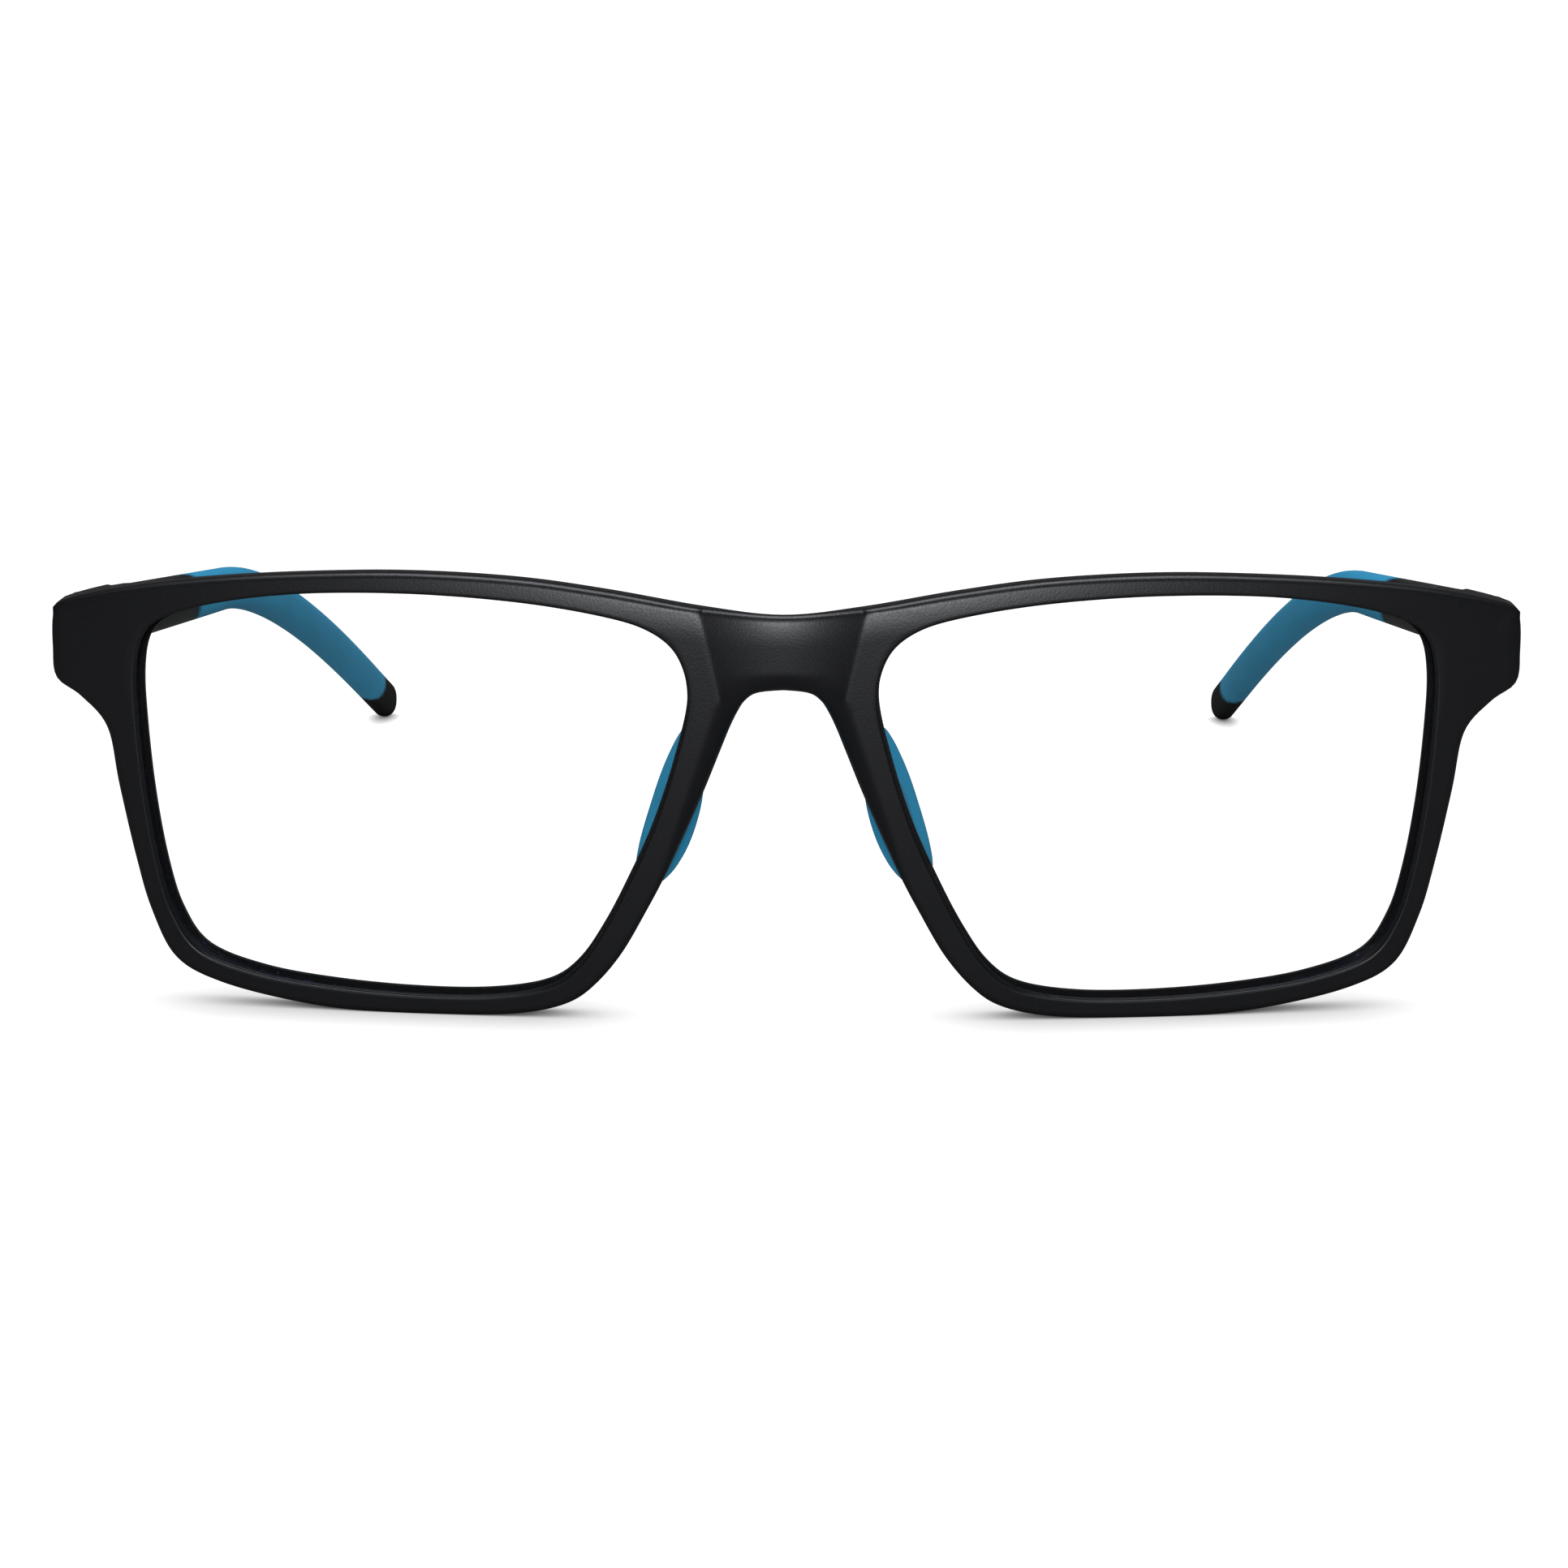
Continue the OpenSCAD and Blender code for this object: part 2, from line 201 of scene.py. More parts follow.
# the section narrows as far as this place, and gets less boxy from the hinge on, down to a least value
NARROWEST = 1.4
BOXY, BOXY_DROP, BOXY_LEAST = 5, 2.6, 2.4

# straight part: its length, and how far it runs down and inwards
SHAFT_L, SHAFT_DROP, SHAFT_IN = 35.0, 3.0, 7.8

# how long the curve keeps the directions of the straight part and of the tip
BEND_HANDLE, TIP_HANDLE = 16.5, 24.5

# places on the centre line: 0 to 1 along the straight part, 1 to 2 round the ear
ARM_END, SLEEVE_END, PATH_END = 0.68, 1.88, 2

# rings at the front end of an arm: how much smaller, and how far behind the front
ARM_START = [(0.3, 0.05), (0.08, 0.12), (0, 0.35)]

# where the other rings of each temple piece lie on the centre line
ARM_PLACES = np.linspace(0.06, ARM_END, 12)
SLEEVE_PLACES = np.concatenate([np.linspace(ARM_END, 0.98, 14), np.linspace(1, SLEEVE_END, 70)])
TIP_PLACES = np.linspace(SLEEVE_END, PATH_END, 9)

# step that finds the curve's direction at a place, and the last place it is found at
SLOPE_STEP = 0.005
LAST_SLOPE = PATH_END - 0.001

# soft borders between black and blue, counted from the arm's end and back from the sleeve's end
ARM_BORDER = (0, 1.8)
TIP_BORDER = (0.8, 2.2)
TIP_BORDER_SLANT = 1.1


# ---------- curves ----------

def scaled(points):
    return np.array(points, float) * [scale_x, scale_z]


def closed_spline(points):
    """Smooth closed curve through every point."""
    b = np.asarray(points, float)
    a, c, d = np.roll(b, 1, 0), np.roll(b, -1, 0), np.roll(b, -2, 0)
    t = (np.arange(SPLINE_STEPS) / SPLINE_STEPS)[:, None, None]
    curve = 0.5 * (2 * b + (c - a) * t + (2 * a - 5 * b + 4 * c - d) * t**2 + (3 * b - a - 3 * c + d) * t**3)
    return curve.transpose(1, 0, 2).reshape(-1, 2)


def lengths_along(line):
    return np.concatenate([[0], np.cumsum(np.linalg.norm(np.diff(line, axis=0), axis=1))])


def points_along(line, distances):
    """Points at the given distances along an open line."""
    s = lengths_along(line)
    return np.stack([np.interp(distances, s, line[:, k]) for k in range(line.shape[1])], axis=1)


def evenly(line, count):
    return points_along(line, np.linspace(0, lengths_along(line)[-1], count))


def closed(line):
    return np.vstack([line, line[:1]])


def left_normals(line):
    """Unit normals on the left of each point's direction of travel, for a closed line."""
    tangent = np.roll(line, -1, 0) - np.roll(line, 1, 0)
    tangent /= np.linalg.norm(tangent, axis=1)[:, None]
    return np.stack([-tangent[:, 1], tangent[:, 0]], axis=1)


def mirrored_normals(line):
    """Left normals of an open line that meets its own mirror image on the centre plane at both ends."""
    whole = np.vstack([line, (line * [-1, 1])[-2:0:-1]])
    return left_normals(whole)[:len(line)]


def partway(ends, share):
    """Number that lies at a share of the way from the first end to the second."""
    return ends[0] + (ends[1] - ends[0]) * share


def smoothstep(span, value):
    """0 below the span and 1 above it, with a smooth rise between."""
    low, high = span
    t = np.clip((value - low) / (high - low), 0, 1)
    return t * t * (3 - 2 * t)


# ---------- meshes ----------

SHARP_ANGLE = np.radians(38)


def make_object(name, vertices, faces, material):
    """Object from points in mm counted from the front apex."""
    points = (np.asarray(vertices, float) + [0, apex_y, 0]) * MM
    mesh = bpy.data.meshes.new(name)
    mesh.from_pydata(points.tolist(), [], [tuple(int(i) for i in f) for f in faces])
    work = bmesh.new()
    work.from_mesh(mesh)
    bmesh.ops.remove_doubles(work, verts=work.verts, dist=1e-7)
    bmesh.ops.recalc_face_normals(work, faces=work.faces)
    work.to_mesh(mesh)
    work.free()
    mesh.shade_smooth()
    mesh.set_sharp_from_angle(angle=SHARP_ANGLE)
    mesh.materials.append(material)
    piece = bpy.data.objects.new(name, mesh)
    bpy.context.scene.collection.objects.link(piece)
    return piece


def grid_faces(index, wrap=False):
    """Quads of a grid of vertex numbers. With wrap, the last row joins the first."""
    below = np.roll(index, -1, axis=0) if wrap else index[1:]
    above = index if wrap else index[:-1]
    corners = [above[:, :-1], above[:, 1:], below[:, 1:], below[:, :-1]]
    return np.stack([c.ravel() for c in corners], axis=1).tolist()


def mirrored(vertices, faces):
    """The same mesh on the other side of the centre plane."""
    return np.asarray(vertices, float) * [-1, 1, 1], [list(reversed(f)) for f in faces]


def both_sides(vertices, faces):
    """The mesh and its mirror image together. Points on the centre plane are welded later."""
    other_vertices, other_faces = mirrored(vertices, faces)
    n = len(vertices)
    return np.vstack([vertices, other_vertices]), faces + [[i + n for i in f] for f in other_faces]


def make_from_rings(name, side, rings, material):
    """Object with its skin over a row of rings and a face on each end ring, on the left or right side."""
    vertices = np.vstack(rings)
    index = np.arange(len(vertices)).reshape(len(rings), -1)
    faces = grid_faces(index.T, wrap=True) + [index[0].tolist(), index[-1].tolist()]
    if side < 0:
        vertices, faces = mirrored(vertices, faces)
    return make_object(name, vertices, faces, material)


def rounded_box(angles, power, half_width, half_height):
    """Sideways and upward offsets of a section that is boxier the smaller its power."""
    cos, sin = np.cos(angles), np.sin(angles)
    return np.sign(cos) * np.abs(cos) ** power * half_width, np.sign(sin) * np.abs(sin) ** power * half_height


# ---------- surfaces of the front ----------

def on_wrap(x, z, depth):
    """Y of the wrapped surface that lies depth behind the front."""
    return WRAP_R - np.sqrt((WRAP_R - depth) ** 2 - x**2 - (z - WRAP_Z) ** 2)


def scoop(x, z):
    """Depth of the panel across the bridge and of the facet down the nose side of the rims."""
    ridge_points = scaled(RIDGE)
    ridge = np.interp(z, ridge_points[:, 1], ridge_points[:, 0])
    past = ridge - x
    inside = np.clip((past + np.sqrt(past**2 + RIDGE_SOFTNESS**2)) / 2 - RIDGE_SOFTNESS / 8, 0, None)
    across = SCOOP_DEPTH * (1 - np.clip(1 - inside / ridge, 0, 1) ** 2)
    facet = FACET_SLOPE * inside
    panel = smoothstep(PANEL_START, z / scale_z)
    return smoothstep(FACET_START, z / scale_z) * (facet * (1 - panel) + across * panel)


def rear(x, z):
    """Y of the rear face: the wrapped rim, or the corner block that carries the hinge."""
    rim = on_wrap(x, z, RIM_T)
    from_hinge = x - hinge_x
    slope = np.interp(from_hinge, BLOCK_SLOPE_X, [BLOCK_FRONT_Y, HINGE_Y])
    hollow = HINGE_Y - np.sqrt(np.clip(BARREL_ROOM**2 - from_hinge**2, 0, None))
    block = np.maximum(np.minimum(slope, hollow), rim)
    blend = smoothstep(BLOCK_START_Z, z / scale_z) * smoothstep(BLOCK_START_X, from_hinge)
    return rim + (block - rim) * blend


def brow_roll(distance, upward):
    """How far the face leans back towards the top edge of the brow."""
    return ROLL * upward * np.clip(ROLL_WIDTH - distance, 0, None) ** 2


def rounding(distance, radius):
    """How far a rounded edge falls back at a distance from the edge."""
    return radius - np.sqrt(np.clip(radius**2 - np.clip(radius - distance, 0, None) ** 2, 0, None))


def nearest(points, line):
    """Distance to, and number of, the nearest point of a line."""
    best = np.full(len(points), np.inf)
    which = np.zeros(len(points), int)
    for k in range(0, len(points), SEARCH_CHUNK):
        chunk = slice(k, k + SEARCH_CHUNK)
        gap = np.linalg.norm(points[chunk, None] - line[None], axis=2)
        which[chunk] = gap.argmin(axis=1)
        best[chunk] = gap.min(axis=1)
    return best, which


# ---------- front view mesh ----------

ROUND_STEPS = 1 - np.cos(np.radians([0, 22.5, 45, 67.5, 90]))


def lip_step(outward):
    """How much wider the front lip of a lens opening is than the rear lip: most on the temple side."""
    return LIP_STEP[0] + LIP_STEP[1] * np.clip(outward[:, :1], 0, 1)


def opposite(outer, loop):
    """For each outer point, the point of the loop that faces it, evened out along the loop."""
    spread = PAIRING_SPREAD
    fine = evenly(closed(loop), PAIRING_POINTS)[:-1]
    _, number = nearest(outer, fine)
    angle = np.unwrap(number * 2 * np.pi / len(fine))
    turn = 2 * np.pi * np.sign(angle[-1] - angle[0])
    padded = np.concatenate([angle[-spread:] - turn, angle, angle[:spread] + turn])
    angle = np.convolve(padded, np.ones(2 * spread + 1) / (2 * spread + 1), "valid")
    return fine[np.round(angle / (2 * np.pi) * len(fine)).astype(int) % len(fine)]


def ring_rows(outer, inner):
    """Points from each outer point to its inner one, close together where the edges are rounded."""
    length = np.linalg.norm(inner - outer, axis=1)[:, None]
    start = OUTER_ROUND * ROUND_STEPS[None] * np.ones_like(length)
    finish = length - LIP_ROUND * ROUND_STEPS[None, ::-1]
    plain = finish[:, :1] - start[:, -1:]
    between = [start[:, -1:] + plain * k / RING_STEPS for k in range(1, RING_STEPS)]
    share = np.hstack([start, *between, finish]) / length
    return outer[:, None] + (inner - outer)[:, None] * share[:, :, None]


def split_outline():
    """Right half of the outline as three lines: over the bridge, round the rim, and under the bridge."""
    half = scaled(HALF_OUTLINE)
    whole = closed_spline(np.vstack([half, (half * [-1, 1])[-2:0:-1]]))
    right = whole[:SPLINE_STEPS * (len(half) - 1) + 1]
    along = lengths_along(right)
    rim_start = along[np.linalg.norm(right - scaled(PANEL_TOP), axis=1).argmin()]
    rim_end = along[np.linalg.norm(right - scaled(PANEL_CORNER), axis=1).argmin()]
    top = points_along(right, np.linspace(rim_start, 0, BRIDGE_COLUMNS))
    rim = points_along(right, np.linspace(rim_start, rim_end, RIM_COLUMNS))
    bottom = points_along(right, np.linspace(rim_end, along[-1], BRIDGE_COLUMNS))
    return top, rim, bottom


def ridge_line(start, end):
    """Line down the ridge beside the bridge, close together where the edges are rounded, and its length."""
    bend = np.vstack([start, scaled(PANEL_CORNER), end])
    length = lengths_along(bend)[-1]
    edge = OUTER_ROUND * ROUND_STEPS
    plain = np.linspace(edge[-1], length - edge[-1], RIDGE_ROWS)[1:-1]
    return points_along(bend, np.concatenate([edge, plain, length - edge[::-1]])), length


def front_view():
    """Half of the front as a flat mesh: points, quads, and the numbers of its outer and lens edges.

    A ring of quads lies between the lens opening, the outline and a line down the ridge beside the bridge.
    A patch fills the bridge from that line to the centre plane.
    """
    top, rim, bottom = split_outline()
    ridge, ridge_length = ridge_line(rim[0], rim[-1])
    rear_lip = evenly(closed(closed_spline(scaled(LENS_OUTLINE))), LIP_POINTS)[:-1]
    lip = rear_lip + left_normals(rear_lip) * lip_step(left_normals(rear_lip))
    outer = np.vstack([rim, ridge[-2:0:-1]])
    ring = ring_rows(outer, opposite(outer, lip))
    ring_index = np.arange(ring.shape[0] * ring.shape[1]).reshape(ring.shape[:2])

    share = lengths_along(ridge)[:, None] / ridge_length
    middle = top[-1] + (bottom[-1] - top[-1]) * share
    patch = bridge_patch(top, bottom, ridge, middle, share)[:, 1:]
    ridge_index = np.concatenate([ring_index[:1, 0], ring_index[:len(rim) - 2:-1, 0]])
    patch_index = ring_index.size + np.arange(patch.shape[0] * patch.shape[1]).reshape(patch.shape[:2])
    patch_index = np.hstack([ridge_index[:, None], patch_index])

    points = np.vstack([ring.reshape(-1, 2), patch.reshape(-1, 2)])
    quads = grid_faces(ring_index, wrap=True) + grid_faces(patch_index)
    outer_edge = np.concatenate([patch_index[0, :0:-1], ring_index[:len(rim), 0], patch_index[-1, 1:]])
    return points, quads, outer_edge, ring_index[:, -1]


def bridge_patch(top, bottom, left, right, share):
    """Patch whose rows follow the spacing of its left side."""
    u = np.linspace(0, 1, len(top))[None, :, None]
    v = share[:, :, None]
    sides = (1 - u) * left[:, None] + u * right[:, None]
    ends = (1 - v) * top[None] + v * bottom[None]
    corner_rows = [(1 - u) * line[0] + u * line[-1] for line in (top, bottom)]
    return sides + ends - (1 - v) * corner_rows[0] - v * corner_rows[1]


def face_and_back(flat, outline, lip):
    """The flat mesh laid on the front face and on the rear face."""
    to_outline, near_outline = nearest(flat, outline)
    to_lip, near_lip = nearest(flat, lip)
    upward = np.clip(mirrored_normals(outline)[:, 1], 0, 1)[near_outline]

    fall = rounding(to_outline, OUTER_ROUND) + rounding(to_lip, LIP_ROUND) + brow_roll(to_outline, upward)
    x, z = flat.T
    face = np.stack([x, on_wrap(x, z, fall + scoop(x, z)), z], axis=1)

    # the rear is a little lower than the face along the brow, and reaches further over the lens edge
    lowered = BROW_STEP * upward * np.clip(1 - to_outline / BROW_STEP_REACH, 0, 1)
    lip_normals = left_normals(lip)
    narrowed = (lip_normals * lip_step(lip_normals))[near_lip]
    narrowed *= np.clip(1 - to_lip / LIP_STEP_REACH, 0, 1)[:, None]
    on_centre = np.abs(x) <= 0.01
    rear_x = np.where(on_centre, x, x - narrowed[:, 0])
    rear_z = z - lowered - narrowed[:, 1]
    fall = rounding(to_outline, BACK_ROUND) + rounding(to_lip, BACK_ROUND)
    back = np.stack([rear_x, rear(rear_x, rear_z) - fall, rear_z], axis=1)
    return face, back


def outer_wall(face_edge, back_edge):
    """Lines between the edge of the face and the edge of the rear."""
    shares = np.arange(1, WALL_STEPS) / WALL_STEPS
    return [face_edge + (back_edge - face_edge) * share for share in shares]


def lens_opening(lip):
    """Lines round the inside of a lens opening: front lip, groove for the lens, rear lip."""
    normals = left_normals(lip)
    step = lip_step(normals)
    groove = LENS_BITE + GROOVE_EXTRA
    groove_front = LENS_FRONT - GROOVE_PLAY
    groove_rear = LENS_FRONT + LENS_T + GROOVE_PLAY
    profile = [
        (step, LIP_DEPTH), (step - LIP_BEVEL, LIP_DEPTH + LIP_BEVEL), (step - LIP_BEVEL, groove_front),
        (groove, groove_front), (groove, groove_rear), (0, groove_rear),
    ]
    lines = []
    for outward, depth in profile:
        x, z = (lip + normals * (outward - step)).T
        lines.append(np.stack([x, on_wrap(x, z, depth), z], axis=1))
    return lines


def rows_between(first, last, row_count, start):
    """Vertex numbers of two edges and of the new rows between them, which are numbered from start."""
    new = start + np.arange(row_count * len(first)).reshape(row_count, -1)
    return np.vstack([first, new, last])


def build_front(material):
    """Moulded front: rounded wrapped face, grooved lens openings, scooped bridge and hinge blocks."""
    flat, quads, outer_edge, lens_edge = front_view()
    face, back = face_and_back(flat, flat[outer_edge], flat[lens_edge])
    wall = outer_wall(face[outer_edge], back[outer_edge])
    opening = lens_opening(flat[lens_edge])
    n = len(flat)
    wall_rows = rows_between(outer_edge, outer_edge + n, len(wall), 2 * n)
    opening_start = 2 * n + len(wall) * len(outer_edge)
    opening_rows = rows_between(lens_edge, lens_edge + n, len(opening), opening_start)
    faces = quads + [[i + n for i in reversed(q)] for q in quads]
    faces += grid_faces(wall_rows) + grid_faces(opening_rows.T, wrap=True)
    vertices = np.vstack([face, back, *wall, *opening])
    return make_object("front_shell", *both_sides(vertices, faces), material)


def build_lens(name, side, material):
    """Thin curved lens, a little larger than its opening, with a chamfered edge."""
    edge = evenly(closed(closed_spline(scaled(LENS_OUTLINE))), LENS_POINTS)[:-1]
    normals = left_normals(edge)
    centre = edge.mean(axis=0)
    clearance = 0.02
    chamfer = 0.15
    reach = LENS_BITE - clearance
    shares = [0.02, 0.15, 0.3, 0.45, 0.6, 0.75, 0.88, 0.96]
    depth = LENS_FRONT + clearance
    back = depth + LENS_T - 2 * clearance
    rows = [(centre + (edge - centre) * s, depth) for s in shares]
    rows += [(edge + normals * (reach - chamfer), depth), (edge + normals * reach, depth + chamfer)]
    rows += [(edge + normals * reach, back - chamfer), (edge + normals * (reach - chamfer), back)]
    rows += [(centre + (edge - centre) * s, back) for s in reversed(shares)]
    rings = [np.stack([*p.T, on_wrap(*p.T, d)], axis=1)[:, [0, 2, 1]] for p, d in rows]
    return make_from_rings(name, side, rings, material)


# ---------- nose pads ----------

pad_centre = np.array((pad_low + pad_high) / 2) / MM - [0, apex_y, 0]


def rotation(lean, flare):
    """Turn about Y by lean, then about Z by flare, in degrees."""
    a, b = np.radians([lean, flare])
    about_y = np.array([[np.cos(a), 0, np.sin(a)], [0, 1, 0], [-np.sin(a), 0, np.cos(a)]])
    about_z = np.array([[np.cos(b), -np.sin(b), 0], [np.sin(b), np.cos(b), 0], [0, 0, 1]])
    return about_z @ about_y


def build_pad(name, side, material):
    """Soft pad: a long rounded cushion, crowned on both faces, slightly bowed and slimmer towards its top."""
    angles = np.radians(np.arange(0, 360, 5))
    radii = [0.04, 0.25, 0.45, 0.62, 0.76, 0.86, 0.93, 0.975, 1.0]
    rings = []
    for face, radius in [(-1, r) for r in radii] + [(1, r) for r in reversed(radii[:-1])]:
        wide = np.sign(np.cos(angles)) * np.abs(np.cos(angles)) ** PAD_POWERS[0] * PAD_HALF_W * radius
        tall = np.sign(np.sin(angles)) * np.abs(np.sin(angles)) ** PAD_POWERS[1] * PAD_HALF_L * radius
        top_share = np.clip(tall / PAD_HALF_L, 0, 1)
        taper = 1 - PAD_TAPER * tall / PAD_HALF_L - PAD_TOP_TAPER * top_share**2
        crown = face * (1 - radius ** PAD_CROWN[0]) ** PAD_CROWN[1]
        thick = PAD_HALF_T * crown * (1 - PAD_TOP_THINNING * top_share**2)
        bow = PAD_BOW * tall**2
        rings.append(np.stack([thick + bow - PAD_INWARD, wide * taper, tall - PAD_DOWN], axis=1))
    turned = [ring @ rotation(PAD_LEAN, PAD_FLARE).T + pad_centre for ring in rings]
    return make_from_rings(name, side, turned, material)


def build_pad_foot(name, side, material):
    """Soft foot that joins the pad to the back of the rim and hides the moulded tongue inside it."""
    angles = np.radians(np.arange(0, 360, 15) + 7.5)
    rings = []
    for share in np.linspace(0, 1, 9):
        thin, tall = rounded_box(angles, 0.5, partway(FOOT_HALF_T, share), partway(FOOT_HALF_H, share))
        ring = np.stack([thin, np.zeros_like(angles), tall], axis=1) @ rotation(PAD_LEAN, 0).T
        rings.append(ring + pad_centre + [partway(FOOT_X, share), partway(FOOT_Y, share), 0])
    return make_from_rings(name, side, rings, material)


# ---------- temples ----------

path_a = np.array([hinge_x + ARM_BESIDE_HINGE + ARM_W / 2, HINGE_Y, hinge_z])
path_b = path_a + [-SHAFT_IN, np.sqrt(SHAFT_L**2 - SHAFT_DROP**2 - SHAFT_IN**2), -SHAFT_DROP]
path_c = tip_centre
shaft_direction = (path_b - path_a) / SHAFT_L


def path_point(u):
    """Point of a temple's centre line."""
    if u <= 1:
        return path_a + (path_b - path_a) * u
    t = u - 1
    after_bend = path_b + shaft_direction * BEND_HANDLE
    before_tip = path_c - tip_direction * TIP_HANDLE
    bend = 3 * t * (1 - t) * ((1 - t) * after_bend + t * before_tip)
    return (1 - t)**3 * path_b + bend + t**3 * path_c


def path_frame(u):
    """Directions along, across and up at a place on the centre line."""
    ahead = shaft_direction
    if u >= 1:
        ahead = path_point(min(u + SLOPE_STEP, PATH_END)) - path_point(min(u, LAST_SLOPE) - SLOPE_STEP)
        ahead = ahead / np.linalg.norm(ahead)
    across = np.array([1.0, 0, 0]) - ahead * ahead[0]
    across /= np.linalg.norm(across)
    return ahead, across, np.cross(across, ahead)


def temple_ring(u, inset=0.0):
    """Section of a temple: boxy at the hinge and rounder towards the ear."""
    ahead, across, up = path_frame(u)
    width = ARM_W + (EAR_W - ARM_W) * min(u, NARROWEST) / NARROWEST - 2 * inset
    height = ARM_H + (EAR_H - ARM_H) * min(u, 1) - 2 * inset
    power = 2 / max(BOXY_LEAST, BOXY - BOXY_DROP * u)
    angles = np.arange(TEMPLE_RING) * 2 * np.pi / TEMPLE_RING
    sideways, upwards = rounded_box(angles, power, width / 2, height / 2)
    return path_point(u) + across * sideways[:, None] + up * upwards[:, None]


def butt_ring(inset, gap):
    """Front end of a temple, cut square to the front and left a gap behind it."""
    ring = temple_ring(0, inset)
    slide = (HINGE_Y + gap - ring[:, 1]) / shaft_direction[1]
    return ring + slide[:, None] * shaft_direction


def tip_cap():
    """Rings that round off the end of a temple."""
    ahead = path_frame(PATH_END)[0]
    ring = temple_ring(PATH_END) - path_c
    angles = np.radians([12, 24, 36, 48, 60, 70, 79, 86])
    return [path_c + ring * np.cos(angle) + ahead * EAR_H / 2 * np.sin(angle) for angle in angles]


def store_blue_share(piece, side):
    """Stores how blue each point of a sleeve or tip is. The soft border near the tip runs at a slant."""
    steps = np.linspace(0, PATH_END, PATH_POINTS)
    line = np.array([path_point(u) for u in steps])
    line_length = lengths_along(line)
    sleeve_finish = np.interp(SLEEVE_END, steps, line_length)
    points = np.array([v.co for v in piece.data.vertices]) / MM - [0, apex_y, 0]
    points[:, 0] *= side
    _, number = nearest(points, line)
    along = line_length[number]
    past_arm = along - ARM_END * SHAFT_L
    inward, _, above = ((points - line[number]) * [-1, 1, 1]).T
    before_tip = sleeve_finish - along + TIP_BORDER_SLANT * (inward + above)
    blue = smoothstep(ARM_BORDER, past_arm) * smoothstep(TIP_BORDER, before_tip)
    layer = piece.data.attributes.new("blue", "FLOAT", "POINT")
    layer.data.foreach_set("value", blue)


# ---------- materials ----------

class Shader:
    """Small helper that adds and joins nodes of one material."""

    MIX_COLOURS, MIX_RESULT = (6, 7), 2

    def __init__(self, name):
        self.material = bpy.data.materials.new(name)
        self.material.use_nodes = True
        self.tree = self.material.node_tree
        self.surface = self.tree.nodes["Principled BSDF"]
        self.output = self.tree.nodes["Material Output"]
        self.place = self.add("ShaderNodeTexCoord").outputs["Object"]

    def add(self, kind, **values):
        node = self.tree.nodes.new(kind)
        for key, value in values.items():
            setattr(node, key, value)
        return node

    def join(self, source, target):
        self.tree.links.new(source, target)

    def noise(self, scale, detail=3.0, rough=0.5, stretch=(1, 1, 1)):
        mapping = self.add("ShaderNodeMapping")
        mapping.inputs["Scale"].default_value = stretch
        self.join(self.place, mapping.inputs["Vector"])
        node = self.add("ShaderNodeTexNoise")
        node.inputs["Scale"].default_value = scale
        node.inputs["Detail"].default_value = detail
        node.inputs["Roughness"].default_value = rough
        self.join(mapping.outputs["Vector"], node.inputs["Vector"])
        return node.outputs["Fac"]

    def between(self, share, low, high):
        """Number that goes from low to high as the share goes from 0 to 1."""
        node = self.add("ShaderNodeMapRange")
        node.inputs["To Min"].default_value = low
        node.inputs["To Max"].default_value = high
        self.join(share, node.inputs["Value"])
        return node.outputs["Result"]

    def mix(self, share, low, high):
        """Colour that goes from low to high. Either may be a colour or another node's output."""
        node = self.add("ShaderNodeMix", data_type="RGBA")
        self.join(share, node.inputs["Factor"])
        for number, value in zip(self.MIX_COLOURS, (low, high)):
            socket = node.inputs[number]
            if isinstance(value, tuple):
                socket.default_value = (*value, 1)
            else:
                self.join(value, socket)
        return node.outputs[self.MIX_RESULT]

    def depth_share(self):
        """0 in front of the object's middle, rising to 1 under its rear end."""
        split = self.add("ShaderNodeSeparateXYZ")
        self.join(self.place, split.inputs["Vector"])
        node = self.add("ShaderNodeMapRange")
        node.inputs["From Max"].default_value = cad_box[1][1]
        self.join(split.outputs["Y"], node.inputs["Value"])
        return node.outputs["Result"]

    def bump(self, height, distance, strength):
        node = self.add("ShaderNodeBump")
        node.inputs["Distance"].default_value = distance
        node.inputs["Strength"].default_value = strength
        self.join(height, node.inputs["Height"])
        return node.outputs["Normal"]


BLACK = (0.0037, 0.0039, 0.0048)
BLUE = (0.016, 0.225, 0.4)

# painted contact shadow on the floor, darkened from occlusion and not cast by the lamps: how far it reaches, in m,
# at the front and under the tips, and its darkest and lightest
PAINTED_SHADOW_REACH = (0.01, 0.001)
PAINTED_SHADOW_TONE = (0.03, 1.15)
# painted light: strength of the floor's glow for bounced light, which lights the glasses from below
FLOOR_GLOW = 0.6


def moulded_black():
    """Satin moulded plastic with a fine spark-eroded grain."""
    s = Shader("moulded_black")
    grain = s.noise(5200, detail=2)
    cloud = s.noise(160, detail=3)
    s.join(s.mix(cloud, BLACK, tuple(1.35 * c for c in BLACK)), s.surface.inputs["Base Color"])
    s.join(s.between(grain, 0.3, 0.42), s.surface.inputs["Roughness"])
    s.surface.inputs["IOR"].default_value = 1.5
    s.join(s.bump(grain, 0.00002, 0.55), s.surface.inputs["Normal"])
    return s.material


